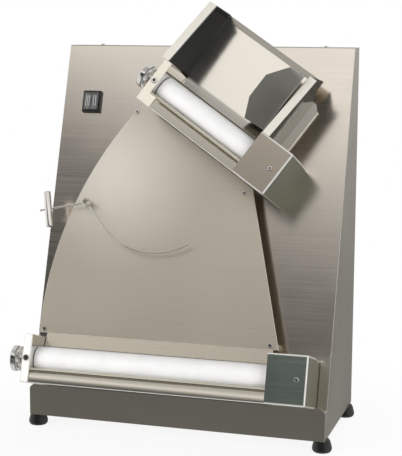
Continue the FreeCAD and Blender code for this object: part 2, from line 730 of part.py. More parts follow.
    half = d.gearhead_half
    shaft_bore = rod(d.motor_shaft_radius + 2 * fit, stub[0] - over, stub[1] + over, motor_axis)
    housing = gather(block(head, (level - half, level + half),
                           (-d.motor_depth - half, half - d.motor_depth)),
                     rod(d.motor_radius, *can, motor_axis))
    sub_part(name("gear_motor"), frame, cut(housing, shaft_bore))
    plate = block(bracket, (level - half, level + half), (-d.motor_depth - half, foot_top))
    ledge = block(foot, (level - half, level + half), (foot_top - d.bracket_gauge, foot_top))
    notch = rod(d.motor_shaft_radius * 2, bracket[0] - over, bracket[1] + over, motor_axis)
    belt_half = half - d.bracket_wall
    belt_gap = block((pulley_low - d.part_gap, pulley_high + d.part_gap),
                     (level - belt_half, level + belt_half), (-d.motor_depth, 4 * gauge))
    sub_part(name("motor_bracket"), frame, cut(gather(plate, ledge), notch, belt_gap))

    if motor_side > 0:
        rim = [(d.lip_height, d.end_depth), (d.lip_height, d.end_depth - gauge)]
    else:
        set_back = d.end_depth - d.lower_lip_setback
        rim = [(d.lower_lip_bend, d.end_depth), (d.lower_lip_height, set_back),
               (d.lower_lip_height, set_back - gauge), (d.lower_lip_bend, d.end_depth - gauge)]
    strip = [(0, d.end_depth), *rim, (gauge, d.end_depth - gauge),
             (gauge, d.end_depth - d.lip_depth), (0, d.end_depth - d.lip_depth)]
    lip = placed(frame, outline(strip, lip_start, box_in, across=True))

    screws = [placed(frame, screw(cover_screw, d.end_depth)),
              placed(frame, screw((screw_axis[1], screw_axis[0]), d.end_depth, wide=True))]
    reach = belt_radius + d.belt_gauge + d.pulley_flange
    belt_window = block((pulley_low - d.pulley_flange, pulley_high + d.pulley_flange),
                        (level - reach, level + reach), (-4 * gauge, 2 * gauge))
    return screws, lip, placed(PANEL.inverse().multiply(frame), belt_window)


# ---------------------------------------------------------------- hopper
def build_hopper():
    """The open chute on the upper unit: back, two walls and deflector."""
    thick = d.hopper_gauge
    plate_in = d.end_plate - d.upper_length
    left = d.hopper_overhang - d.upper_length
    right = -d.box_width + thick
    back = d.hopper_back_depth
    hem_back = back + thick + d.hem_gap
    sheet = [(d.hopper_fold, back), (d.hopper_top, back), (d.hopper_top, hem_back + thick),
             (d.hopper_top - d.hem_width, hem_back + thick), (d.hopper_top - d.hem_width, hem_back),
             (d.hopper_top - thick, hem_back), (d.hopper_top - thick, back + thick),
             (d.hopper_fold, back + thick)]
    chute = [(d.hopper_fold, back), (d.hopper_fold, back + thick),
             (d.hopper_lip, d.hopper_lip_depth),
             (d.hopper_lip - thick, d.hopper_lip_depth - thick / 2)]
    inner_left = left + thick
    sub_part("hopper_back", UPPER, gather(
        outline(sheet, inner_left, right - thick, across=True),
        outline(chute, plate_in + d.part_gap, right - thick, across=True)))

    foot = d.end_height
    top_depth = d.end_depth - d.wall_front_fall
    rear = 2 * d.part_gap
    rim_top = d.hopper_top - d.wall_rear_fall

    def wall(front_top, bounds, flange):
        side = [(foot, rear), (foot, d.end_depth), (front_top, top_depth),
                (d.hopper_top + d.wall_stand, back + 3 * thick),
                (d.hopper_top + d.wall_stand, back - thick),
                (d.hopper_top - d.wall_rear_step, back - thick), (rim_top, rear)]
        lip = [(foot, d.end_depth - thick), (foot, d.end_depth), (front_top, top_depth),
               (front_top, top_depth - thick)]
        return gather(outline(side, *bounds, across=True), outline(lip, *flange, across=True))

    sub_part("hopper_left_wall", UPPER,
             wall(d.left_wall_top, (left, inner_left), (left - d.wall_flange, left)))

    edge = right + d.wall_rear_flange
    rear_rim = outline([(right - thick, foot), (edge, foot), (edge, rim_top - d.wall_clip),
                        (edge - d.wall_clip, rim_top), (right - thick, rim_top)],
                       rear, rear + thick)
    rim_lip = placed(frame_at(edge, 0, rear, Rotation(Vector(0, 1, 0), -45)),
                     block((0, d.wall_lip), (foot, rim_top - d.wall_clip), (0, thick)))
    right_wall = wall(d.right_wall_top, (right - thick, right), (right, right + d.wall_flange))
    sub_part("hopper_right_wall", UPPER, gather(right_wall, rear_rim, rim_lip))

    run = root_of(d.deflector_run * d.deflector_run + d.deflector_depth * d.deflector_depth)
    turn = math.degrees(math.atan2(d.deflector_depth.value, d.deflector_run.value))
    shape = outline([(0, d.deflector_low), (0, d.deflector_high),
                     (d.deflector_crop, d.deflector_top), (run, d.deflector_front_top),
                     (run, d.deflector_bottom), (d.deflector_foot_crop, d.deflector_bottom)], 0, thick)
    start = frame_at(right - thick - d.deflector_run - thick, 0, back + 2 * thick,
                     Rotation(Vector(0, 1, 0), -turn))
    sub_part("dough_deflector", UPPER.multiply(start), shape)


def build_casing_screws():
    """Pan-head screws in the top of the casing."""
    screws = [screw(spot, d.casing_height + gauge) for spot in top_screw_spots()]
    sub_part("casing_screws", CASING, *screws)


# ---------------------------------------------------------------- the whole machine
build_side_panel(-1, "left_side_panel")
build_side_panel(1, "right_side_panel")
build_rear_cover()
build_base_and_feet()
build_kick_panel()
build_cable_gland()
build_slide_plate()
balance_pivot = build_balance()
switch_frame = build_switch()
upper_screws, upper_lip, upper_window = build_unit("upper", UPPER, d.upper_length, d.upper_chamfer, 1)
lower_screws, lower_lip, _ = build_unit("lower", LOWER, d.lower_length, d.lower_chamfer, -1)
build_front_panel([upper_window])
build_hopper()
sub_part("front_lips", Placement(), upper_lip, lower_lip)
sub_part("unit_screws", Placement(), *upper_screws, *lower_screws)
build_casing_screws()
doc.recompute()

# the origin of the part is the middle of its footprint, on the floor
boxes = [item.Shape.optimalBoundingBox(False, False) for item in finished]
low = Vector(min(b.XMin for b in boxes), min(b.YMin for b in boxes), min(b.ZMin for b in boxes))
high = Vector(max(b.XMax for b in boxes), max(b.YMax for b in boxes), max(b.ZMax for b in boxes))
shift = Placement(Vector(-(low.x + high.x) / 2, -(low.y + high.y) / 2, -low.z), Rotation())
for item in finished:
    item.Placement = shift.multiply(item.Placement)
doc.recompute()

for item in doc.Objects:
    if "Invalid" in item.State or "Error" in item.State:
        raise RuntimeError(f"{item.Label} failed: {item.State}")
for item in finished:
    shape = item.Shape
    if shape.isNull() or not shape.isValid() or not shape.Solids:
        raise RuntimeError(f"{item.Label} has no sound shape")

os.makedirs("parts", exist_ok=True)
for item in finished:
    item.Shape.exportStep(f"parts/{item.Label}.step")


def report(word, frame, point, direction):
    """Print one joint line in the finished frame."""
    frame = shift.multiply(frame)
    spot = frame.multVec(Vector(*[as_size(p).value for p in point]))
    axis = frame.Rotation.multVec(Vector(*direction))
    print("AXIS", word, *[round(v, 4) for v in (*spot, *axis)])


print("PARTS", len(finished), "SIZE", *[round(v, 2) for v in (high - low)])
for prefix, frame in (("upper", UPPER), ("lower", LOWER)):
    report(f"{prefix}_front", frame, (0, d.roller_level, d.front_roller_depth), (1, 0, 0))
    report(f"{prefix}_rear", frame, (0, d.roller_level, rear_roller_depth), (1, 0, 0))
    report(f"{prefix}_motor", frame, (0, d.roller_level, -d.motor_depth), (1, 0, 0))
    report(f"{prefix}_knob", frame, (0, d.roller_level, d.knob_axis_depth), (1, 0, 0))
    report(f"{prefix}_slide", frame, (0, 0, 0), (0, 0, 1))
report("balance", balance_pivot, (0, 0, 0), (0, 0, 1))
report("switch", switch_frame, (0, 0, 0), (0, 0, 1))
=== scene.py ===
"""Looks of the dough sheeter: materials, detailed pieces, studio and camera, around the CAD frame."""
import json
import math

import bmesh
import bpy
from mathutils import Matrix, Vector


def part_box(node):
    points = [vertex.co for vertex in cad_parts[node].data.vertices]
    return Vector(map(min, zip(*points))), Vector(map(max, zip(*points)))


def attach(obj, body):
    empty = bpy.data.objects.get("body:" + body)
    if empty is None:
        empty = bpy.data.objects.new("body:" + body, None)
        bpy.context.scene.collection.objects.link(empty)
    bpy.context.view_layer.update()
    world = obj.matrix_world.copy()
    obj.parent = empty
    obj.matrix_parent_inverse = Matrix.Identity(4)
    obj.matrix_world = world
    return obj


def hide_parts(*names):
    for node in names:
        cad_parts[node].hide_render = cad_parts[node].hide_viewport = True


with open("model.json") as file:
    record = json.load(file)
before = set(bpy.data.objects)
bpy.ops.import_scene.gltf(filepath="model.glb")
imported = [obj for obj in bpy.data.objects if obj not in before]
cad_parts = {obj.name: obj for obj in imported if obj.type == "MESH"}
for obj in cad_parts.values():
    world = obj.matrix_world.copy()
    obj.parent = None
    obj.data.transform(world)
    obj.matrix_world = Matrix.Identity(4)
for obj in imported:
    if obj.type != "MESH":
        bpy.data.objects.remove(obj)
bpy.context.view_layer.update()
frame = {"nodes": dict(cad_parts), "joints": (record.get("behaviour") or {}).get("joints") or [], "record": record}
NODES = frame["nodes"]
JOINTS = {joint["name"]: joint for joint in frame["joints"]}
BODY_OF = {node: body for body, names in frame["record"]["behaviour"]["bodies"].items()
           for node in names}
MM = 0.001

# ---------------------------------------------------------------- directions and places
UP = Vector((0, 0, 1))
ACROSS = Vector((1, 0, 0))
OUT = Vector(JOINTS["balance_swing"]["axis"]).normalized()   # out of the leaning front panel
ALONG = {p: Vector(JOINTS[f"{p}_rear_spin"]["axis"]).normalized() for p in ("upper", "lower")}
RISE = {p: OUT.cross(ALONG[p]).normalized() for p in ALONG}  # across a unit's end, upwards
SLOPE = RISE["lower"]                                        # up the leaning front panel
PREFIXES = ("upper", "lower")

casing_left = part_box("left_side_panel")[0].x
casing_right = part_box("right_side_panel")[1].x
kick_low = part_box("kick_panel")[0]
CASING = Vector(((casing_left + casing_right) / 2, kick_low.y, kick_low.z))


def reach(name, axis):
    """Lowest and highest place of a CAD node along a direction."""
    places = [vertex.co.dot(axis) for vertex in NODES[name].data.vertices]
    return min(places), max(places)


def joint_place(name):
    return Vector(JOINTS[name]["pos_m"])


# ---------------------------------------------------------------- shader helpers
def new_material(name):
    material = bpy.data.materials.new(name)
    material.use_nodes = True
    nodes = material.node_tree.nodes
    nodes.clear()
    output = nodes.new("ShaderNodeOutputMaterial")
    shader = nodes.new("ShaderNodeBsdfPrincipled")
    material.node_tree.links.new(shader.outputs[0], output.inputs["Surface"])
    return material, nodes, material.node_tree.links, shader


def grain_space(nodes, links, along, stretch=(6, 700, 700)):
    """Object coordinates turned so that x runs along the grain, and stretched."""
    first = Vector(along).normalized()
    helper = UP if abs(first.z) < 0.9 else ACROSS
    second = helper.cross(first).normalized()
    third = first.cross(second)
    turn = Matrix((first, second, third)).transposed().to_euler()
    where = nodes.new("ShaderNodeTexCoord")
    mapping = nodes.new("ShaderNodeMapping")
    mapping.vector_type = "TEXTURE"
    mapping.inputs["Rotation"].default_value = turn
    mapping.inputs["Scale"].default_value = [1 / s for s in stretch]
    links.new(where.outputs["Object"], mapping.inputs["Vector"])
    return mapping.outputs["Vector"]


def noise(nodes, links, vector, scale=1.0, detail=3.0, roughness=0.6):
    texture = nodes.new("ShaderNodeTexNoise")
    texture.inputs["Scale"].default_value = scale
    texture.inputs["Detail"].default_value = detail
    texture.inputs["Roughness"].default_value = roughness
    links.new(vector, texture.inputs["Vector"])
    return texture.outputs["Fac"]


def object_space(nodes):
    return nodes.new("ShaderNodeTexCoord").outputs["Object"]


def span(nodes, links, value, low, high):
    """A noise value, which stays between about 0.3 and 0.7, spread over low to high."""
    ranged = nodes.new("ShaderNodeMapRange")
    ranged.inputs["From Min"].default_value = 0.3
    ranged.inputs["From Max"].default_value = 0.7
    ranged.inputs["To Min"].default_value = low
    ranged.inputs["To Max"].default_value = high
    links.new(value, ranged.inputs["Value"])
    return ranged.outputs["Result"]


def mixed(nodes, links, factor, first, second):
    mix = nodes.new("ShaderNodeMix")
    mix.data_type = "RGBA"
    links.new(factor, mix.inputs["Factor"])
    mix.inputs["A"].default_value = (*first, 1)
    mix.inputs["B"].default_value = (*second, 1)
    return mix.outputs["Result"]


def combined(nodes, links, operation, first, second):
    """Math of two values, each a socket or a number."""
    node = nodes.new("ShaderNodeMath")
    node.operation = operation
    for socket, value in zip(node.inputs, (first, second)):
        if isinstance(value, (int, float)):
            socket.default_value = value
        else:
            links.new(value, socket)
    return node.outputs[0]


def bump(nodes, links, height, shader, strength, distance):
    node = nodes.new("ShaderNodeBump")
    node.inputs["Strength"].default_value = strength
    node.inputs["Distance"].default_value = distance
    links.new(height, node.inputs["Height"])
    links.new(node.outputs["Normal"], shader.inputs["Normal"])


# ---------------------------------------------------------------- materials
def brushed(name, colour, rough, along, spread=0.05, tone=0.06, depth=0.00004, metallic=1.0,
            smear=None, painted_highlight=None):
    """Brushed stainless sheet: fine grain in tone, roughness and relief, with faint clouds.

    smear is the direction across the grain in which reflections are drawn out, and the last argument is (place,
    radius, colour) of a painted highlight: the colour turns lighter towards that place."""
    material, nodes, links, shader = new_material(name)
    shader.inputs["Metallic"].default_value = metallic
    if smear:
        direction = nodes.new("ShaderNodeCombineXYZ")
        for socket, value in zip(direction.inputs, smear):
            socket.default_value = value
        shader.inputs["Anisotropic"].default_value = 0.6
        links.new(direction.outputs[0], shader.inputs["Tangent"])
    grain = noise(nodes, links, grain_space(nodes, links, along), detail=4)
    cloud = noise(nodes, links, object_space(nodes), scale=7, detail=2)
    both = combined(nodes, links, "ADD", combined(nodes, links, "MULTIPLY", grain, 0.6),
                    combined(nodes, links, "MULTIPLY", cloud, 0.4))
    dark = [c * (1 - tone) for c in colour]
    light = [min(1, c * (1 + tone)) for c in colour]
    tint = mixed(nodes, links, span(nodes, links, both, 0, 1), dark, light)
    # painted highlight: towards the given place the colour blends into a lighter one
    if painted_highlight:
        away = nodes.new("ShaderNodeVectorMath")
        away.operation = "DISTANCE"
        links.new(object_space(nodes), away.inputs[0])
        away.inputs[1].default_value = painted_highlight[0]
        share = nodes.new("ShaderNodeMapRange")
        share.interpolation_type = "SMOOTHSTEP"
        share.inputs["From Min"].default_value = painted_highlight[1]
        share.inputs["From Max"].default_value = 0.0
        links.new(away.outputs["Value"], share.inputs["Value"])
        highlighted = nodes.new("ShaderNodeMix")
        highlighted.data_type = "RGBA"
        links.new(share.outputs["Result"], highlighted.inputs["Factor"])
        links.new(tint, highlighted.inputs["A"])
        highlighted.inputs["B"].default_value = (*painted_highlight[2], 1)
        tint = highlighted.outputs["Result"]
    links.new(tint, shader.inputs["Base Color"])
    links.new(span(nodes, links, both, max(0.02, rough - spread), rough + spread),
              shader.inputs["Roughness"])
    bump(nodes, links, grain, shader, 0.35, depth)
    return material


def turned(name, colour, rough, metallic=1.0, scale=900):
    """Turned or ground metal: fine even scratches and a little unevenness."""
    material, nodes, links, shader = new_material(name)
    shader.inputs["Metallic"].default_value = metallic
    fine = noise(nodes, links, object_space(nodes), scale=scale, detail=2)
    tint = mixed(nodes, links, span(nodes, links, fine, 0, 1), [c * 0.92 for c in colour], colour)
    links.new(tint, shader.inputs["Base Color"])
    links.new(span(nodes, links, fine, rough * 0.75, rough * 1.3), shader.inputs["Roughness"])
    bump(nodes, links, fine, shader, 0.25, 0.03 * MM)
    return material


def moulded(name, colour, rough, scale=1500, coat=0.0, inner=0.0):
    """Moulded plastic or rubber with a fine even texture and slight wear in its tone."""
    material, nodes, links, shader = new_material(name)
    fine = noise(nodes, links, object_space(nodes), scale=scale, detail=3)
    wear = noise(nodes, links, object_space(nodes), scale=35, detail=4)
    tint = mixed(nodes, links, span(nodes, links, wear, 0, 1), [c * 0.93 for c in colour], colour)
    links.new(tint, shader.inputs["Base Color"])
    links.new(span(nodes, links, fine, rough - 0.05, rough + 0.07), shader.inputs["Roughness"])
    bump(nodes, links, fine, shader, 0.4, 0.06 * MM)
    shader.inputs["Coat Weight"].default_value = coat
    if inner:
        shader.inputs["Subsurface Weight"].default_value = inner
        shader.inputs["Subsurface Radius"].default_value = (0.004, 0.004, 0.004)
        shader.inputs["Subsurface Scale"].default_value = 1.0
    return material


def clear_plastic(name):
    material, nodes, links, shader = new_material(name)
    fine = noise(nodes, links, object_space(nodes), scale=300, detail=2)
    links.new(span(nodes, links, fine, 0.06, 0.16), shader.inputs["Roughness"])
    tint = mixed(nodes, links, span(nodes, links, fine, 0, 1), (0.80, 0.82, 0.82), (0.90, 0.91, 0.91))
    links.new(tint, shader.inputs["Base Color"])
    shader.inputs["Transmission Weight"].default_value = 0.95
    shader.inputs["IOR"].default_value = 1.35
    return material


STAINLESS = (0.79, 0.72, 0.63)
panel_steel = brushed("panel_steel", STAINLESS, 0.19, ACROSS, tone=0.04, smear=SLOPE)
# the slide plate, with a painted highlight round a place beside the balance hub
plate_steel = brushed("plate_steel", (0.62, 0.56, 0.465), 0.32, ACROSS, tone=0.05, depth=0.00006,
                      metallic=0.72, smear=SLOPE,
                      painted_highlight=(joint_place("balance_swing") + ACROSS * 0.035 + UP * 0.05, 0.17,
                            (0.95, 0.89, 0.79)))
# painted shade: the slide plate's foot, which leans back, painted darker than the plate
shaded_foot_steel = brushed("shaded_foot_steel", (0.50, 0.45, 0.37), 0.26, ACROSS, tone=0.03, depth=0.00001,
                     metallic=0.85)
side_steel = brushed("side_steel", (0.66, 0.62, 0.52), 0.30, SLOPE)
kick_steel = brushed("kick_steel", (0.76, 0.71, 0.60), 0.22, ACROSS, tone=0.03, depth=0.00001)
# painted light and shade: both gear covers are one stainless, tinted brown on the upper and green on the lower as
# painted reflections, and their end faces are lit and shaded copies, pale on the upper and dark on the lower
cover_steel = {
    "upper": brushed("upper_cover_steel", (0.54, 0.475, 0.39), 0.30, ALONG["upper"], tone=0.03),
    "lower": brushed("lower_cover_steel", (0.66, 0.76, 0.67), 0.22, ALONG["lower"], tone=0.03),
}
lit_and_shaded_cover_end_steel = {
    "upper": brushed("upper_cover_end_steel", (0.84, 0.89, 0.75), 0.32, RISE["upper"], tone=0.03),
    "lower": brushed("lower_cover_end_steel", (0.47, 0.45, 0.345), 0.32, RISE["lower"], tone=0.03),
}
# painted highlight: a pale finish for the rounded edges and bends of sheets
edge_highlight_steel = brushed("edge_highlight_steel", (0.90, 0.88, 0.84), 0.35, ACROSS, tone=0.02, metallic=0.8)
# painted shade: the hopper walls are the same stainless, painted darker than the casing, the left wall much darker
# than the right
shaded_left_wall_steel = brushed("shaded_left_wall_steel", (0.38, 0.40, 0.40), 0.10, ALONG["upper"],
                     spread=0.02, tone=0.03, depth=0.00001)
shaded_right_wall_steel = brushed("shaded_right_wall_steel", (0.62, 0.62, 0.59), 0.10, ALONG["upper"],
                      spread=0.02, tone=0.03, depth=0.00001)
deflector_steel = brushed("deflector_steel", (0.36, 0.35, 0.32), 0.20, ALONG["upper"], tone=0.03,
                          depth=0.00001, metallic=0.75)
back_steel = brushed("back_steel", (0.72, 0.675, 0.60), 0.15, ALONG["upper"],
                     spread=0.04, tone=0.02, depth=0.00002)
# painted highlight: the lips and rims of the hopper walls, paler than the walls
rim_highlight_steel = brushed("rim_highlight_steel", (0.83, 0.79, 0.71), 0.34, RISE["upper"], metallic=0.55)
lip_steel = brushed("lip_steel", (0.70, 0.65, 0.56), 0.26, ALONG["lower"], spread=0.01,
                    tone=0.01, depth=0.000002)
# painted shade: the hem folded along the top of the hopper back, painted darker than the back
shaded_hem_steel = brushed("shaded_hem_steel", (0.34, 0.32, 0.28), 0.22, ALONG["upper"], tone=0.03,
                    depth=0.00001)
bar_steel = {p: brushed(f"{p}_bar_steel", (0.72, 0.68, 0.56), 0.22, ALONG[p], tone=0.04,
                        depth=0.000005) for p in PREFIXES}
# painted light and shade: the left end plates of both units are one part, painted cream on the upper and near
# white on the lower
end_steel = {
    "upper": turned("upper_end_steel", (0.80, 0.75, 0.64), 0.42, metallic=0.35, scale=400),
    "lower": turned("lower_end_steel", (0.93, 0.91, 0.86), 0.42, metallic=0.2, scale=400),
}
mirror_steel = turned("mirror_steel", (0.84, 0.82, 0.78), 0.06)
shaft_steel = turned("shaft_steel", (0.70, 0.66, 0.56), 0.26)
gear_steel = turned("gear_steel", (0.48, 0.48, 0.49), 0.4)
screw_steel = turned("screw_steel", (0.84, 0.82, 0.78), 0.16)
# painted shade: a black finish for the bottom of the screws' hexagon sockets
painted_socket_shade = turned("painted_socket_shade", (0.05, 0.048, 0.045), 0.5)
chrome = turned("chrome", (0.70, 0.69, 0.66), 0.07)
wire_steel = turned("wire_steel", (0.78, 0.75, 0.70), 0.16)
bar_aluminium = turned("bar_aluminium", (0.86, 0.82, 0.79), 0.2)
drive_aluminium = turned("drive_aluminium", (0.70, 0.70, 0.70), 0.35)
white_plastic = moulded("white_plastic", (0.84, 0.835, 0.83), 0.34, inner=0.25)
black_rubber = moulded("black_rubber", (0.006, 0.0055, 0.005), 0.4, scale=900)
belt_rubber = moulded("belt_rubber", (0.03, 0.03, 0.03), 0.7)
black_plastic = moulded("black_plastic", (0.008, 0.008, 0.007), 0.3, scale=2500, coat=0.2)
key_plastic = moulded("key_plastic", (0.03, 0.03, 0.029), 0.35, scale=2500)
mark_plastic = moulded("mark_plastic", (0.50, 0.49, 0.47), 0.4, scale=2500)
motor_paint = moulded("motor_paint", (0.16, 0.17, 0.19), 0.35, scale=500)
boot_plastic = clear_plastic("boot_plastic")

WORDS = {
    "left_end_plate": end_steel, "right_end_plate": mirror_steel, "tie_bars": bar_steel,
    "scrapers": bar_steel, "gear_cover": cover_steel,
    "front_roller": white_plastic, "rear_roller": white_plastic,
    "front_shaft": shaft_steel, "rear_shaft": shaft_steel, "front_gear": gear_steel,
    "rear_gear": gear_steel, "slide_blocks": drive_aluminium, "thickness_knob": chrome,
    "drive_pulley": drive_aluminium, "motor_pulley": drive_aluminium, "drive_belt": belt_rubber,
    "gear_motor": motor_paint, "motor_bracket": shaft_steel,
    "left_side_panel": side_steel, "right_side_panel": side_steel, "rear_cover": side_steel,
    "base_plate": panel_steel, "front_panel": panel_steel, "kick_panel": kick_steel,
    "rubber_feet": black_rubber, "cable_gland": black_plastic, "slide_plate": plate_steel,
    "plate_spacers": shaft_steel, "plate_screws": screw_steel, "unit_screws": screw_steel,
    "casing_screws": screw_steel, "balance_stud": shaft_steel, "balance_wire": wire_steel,
    "balance_weight": bar_aluminium, "switch_body": black_plastic, "start_button": key_plastic,
    "stop_button": key_plastic, "hopper_back": back_steel,
    "hopper_left_wall": shaded_left_wall_steel, "hopper_right_wall": shaded_right_wall_steel,
    "dough_deflector": deflector_steel, "front_lips": lip_steel,
}


def finish_of(name):
    prefix, _, word = name.partition("_")
    finish = WORDS.get(name) or WORDS[word]
    return finish[prefix] if isinstance(finish, dict) else finish


for name, node in NODES.items():
    node.data.materials.clear()
    node.data.materials.append(finish_of(name))


# ---------------------------------------------------------------- pieces that stand for CAD nodes
def add_piece(name, mesh, like, material=None, stands=True):
    """One object that moves with the CAD node it is like, and stands for it."""
    if material:
        mesh.materials.append(material)
    item = bpy.data.objects.new(name, mesh)
    bpy.context.scene.collection.objects.link(item)
    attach(item, BODY_OF[like])
    if stands:
        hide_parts(like)
    return item


def smooth(mesh, angle=32):
    for face in mesh.polygons:
        face.use_smooth = True
    mesh.set_sharp_from_angle(angle=math.radians(angle))


def settle_normals(mesh, rounded_faces, crease):
    """Flat faces stay flat to their border, and every rounding runs smoothly between them.

    crease is the angle in degrees from which two flat faces meet in a sharp edge."""
    rounding_limit = 66     # degrees between a rounding and a face that it runs into
    rounding_weight = 0.001   # against a flat face, whose direction therefore wins
    shape = bmesh.new()
    shape.from_mesh(mesh)
    shape.faces.ensure_lookup_table()
    near, far = math.cos(math.radians(crease)), math.cos(math.radians(rounding_limit))
    normals = []
    for face in shape.faces:
        for loop in face.loops:
            total = Vector()
            for other in loop.vert.link_faces:
                other_rounded = other.index in rounded_faces
                limit = far if face.index in rounded_faces or other_rounded else near
                if other.normal.dot(face.normal) > limit:
                    weight = rounding_weight if other_rounded else 1
                    total += other.normal * (other.calc_area() * weight)
            normals.append(total.normalized() if total.length > 0 else face.normal.copy())
    shape.free()
    mesh.normals_split_custom_set(normals)


def bent_sheet(name, radius, segments=3, finishes=(), rim=0.0, bright=None, crease=33):
    """A CAD node's own shape with clean flat faces and a small radius on its bends and edges.

    finishes holds (direction, material) pairs for the faces that look that way, with a least level up the tilted
    unit as a third item where only the upper ones do; most of these finishes paint light or shade onto some faces
    of one sheet. rim is the radius of the sheet's thin free edges, bright is a lighter finish painted on the
    roundings as a painted highlight, and crease is the angle in degrees from which flat faces meet in a sharp
    edge."""
    same_way = 0.97   # cosine: within about 14 degrees
    shape = bmesh.new()
    shape.from_mesh(NODES[name].data)
    bmesh.ops.remove_doubles(shape, verts=shape.verts, dist=0.01 * MM)
    bmesh.ops.dissolve_limit(shape, angle_limit=math.radians(0.4), verts=shape.verts,
                             edges=shape.edges)
    for face in shape.faces:
        face.material_index = 0
        face.smooth = True
        for index, (direction, _, *least) in enumerate(finishes, 1):
            if face.normal.dot(direction) > same_way:
                if not least or face.calc_center_median().dot(RISE["upper"]) > least[0]:
                    face.material_index = index
    mark = shape.faces.layers.int.new("rounded")
    for size, least in ((radius, 2.6 * radius), (rim, 2.2 * rim)):
        if not size:
            continue
        picked = []
        for edge in shape.edges:
            if len(edge.link_faces) != 2 or edge.calc_length() < max(2.5 * size, 3 * MM):
                continue
            if any(face[mark] for face in edge.link_faces):
                continue
            if edge.calc_face_angle_signed(0) < math.radians(33):
                continue
            widths = [face.calc_area() / max(e.calc_length() for e in face.edges)
                      for face in edge.link_faces]
            if min(widths) > least:
                picked.append(edge)
        if picked:
            made = bmesh.ops.bevel(shape, geom=picked, offset=size, segments=segments, profile=0.5,
                                   affect="EDGES", clamp_overlap=True)
            for face in made["faces"]:
                face[mark] = 1
                face.smooth = True
                # the roundings take the pale finish, a painted highlight
                if bright:
                    face.material_index = len(finishes) + 1
    shape.faces.index_update()
    rounded_faces = {face.index for face in shape.faces if face[mark]}
    mesh = bpy.data.meshes.new(f"{name}_form")
    shape.to_mesh(mesh)
    shape.free()
    mesh.materials.append(finish_of(name))
    for _, material, *_ in finishes:
        mesh.materials.append(material)
    if bright:
        mesh.materials.append(bright)
    settle_normals(mesh, rounded_faces, crease)
    return add_piece(f"{name}_form", mesh, name)


def lathe(profile, start, axis, steps=72, ripple=None):
    """The mesh of a turned piece, from (distance along axis, radius) pairs starting on the axis.

    ripple is (first, last, count, depth): knurling between two profile rings."""
    side = axis.orthogonal().normalized()
    other = axis.cross(side)
    shape = bmesh.new()
    rings = []
    for index, (distance, radius) in enumerate(profile):
        middle = start + axis * distance
        if radius < 1e-7:
            rings.append([shape.verts.new(middle)])
            continue
        ring = []
        for step in range(steps):
            turn = 2 * math.pi * step / steps
            size = radius
            if ripple and ripple[0] <= index <= ripple[1]:
                size -= ripple[3] * (0.5 + 0.5 * math.cos(ripple[2] * turn))
            out = side * math.cos(turn) + other * math.sin(turn)
            ring.append(shape.verts.new(middle + out * size))
        rings.append(ring)
    for first, second in zip(rings, rings[1:]):
        for step in range(steps):
            after = (step + 1) % steps
            corners = [first[step % len(first)], first[after % len(first)],
                       second[after % len(second)], second[step % len(second)]]
            shape.faces.new(list(dict.fromkeys(corners)))
    bmesh.ops.recalc_face_normals(shape, faces=shape.faces)
    mesh = bpy.data.meshes.new("turned")
    shape.to_mesh(mesh)
    shape.free()
    smooth(mesh)
    return mesh


def rounded(corners, steps=4):
    """Profile points with some corners rounded: each corner is (distance, radius, corner radius)."""
    points = []
    for index, (a, r, size) in enumerate(corners):
        if not size or index in (0, len(corners) - 1):
            points.append((a, r))
            continue
        here = Vector((a, r))
        before = (Vector(corners[index - 1][:2]) - here).normalized() * size
        after = (Vector(corners[index + 1][:2]) - here).normalized() * size
        for step in range(steps + 1):
            share = step / steps
            # a quadratic curve from one edge to the other
            points.append(tuple(here + before * (1 - share) ** 2 + after * share ** 2))
    return points


def join(meshes, name):
    shape = bmesh.new()
    for mesh in meshes:
        shape.from_mesh(mesh)
    result = bpy.data.meshes.new(name)
    shape.to_mesh(result)
    shape.free()
    for mesh in meshes:
        bpy.data.meshes.remove(mesh)
    smooth(result)
    return result


def islands(name):
    """The separate solids of a CAD node, each as a list of its corner points."""
    shape = bmesh.new()
    shape.from_mesh(NODES[name].data)
    bmesh.ops.remove_doubles(shape, verts=shape.verts, dist=0.01 * MM)
    left = set(shape.verts)
    groups = []
    while left:
        todo = [left.pop()]
        group = []
        while todo:
            vertex = todo.pop()
            group.append(vertex.co.copy())
            for edge in vertex.link_edges:
                other = edge.other_vert(vertex)
                if other in left:
                    left.remove(other)
                    todo.append(other)
        groups.append(group)
    shape.free()
    return groups


def axis_point(points, axis):
    """Middle of a round solid across its axis, with its low and high end along it."""
    side = axis.orthogonal().normalized()
    other = axis.cross(side)
    middle = Vector()
    for direction in (side, other):
        places = [p.dot(direction) for p in points]
        middle += direction * (min(places) + max(places)) / 2
    ends = [p.dot(axis) for p in points]
    return middle, min(ends), max(ends)


# ---------------------------------------------------------------- rollers
def build_roller(prefix, word):
    name = f"{prefix}_{word}_roller"
    axis = ALONG[prefix]
    low, high = reach(name, axis)
    across_low, across_high = reach(name, RISE[prefix])
    radius = (across_high - across_low) / 2
    joint = joint_place(f"{prefix}_{word}_spin")
    start = joint + axis * (low - joint.dot(axis))
    length = high - low
    shaft = 8.2 * MM
    profile = rounded([(0.4 * MM, shaft, 0), (0, shaft + 0.5 * MM, 0), (0, radius, 0.6 * MM),
                       (length, radius, 0.6 * MM), (length, shaft + 0.5 * MM, 0),
                       (length - 0.4 * MM, shaft, 0)])
    mesh = lathe(profile, start, axis, 96)
    add_piece(f"{name}_sleeve", mesh, name, white_plastic)


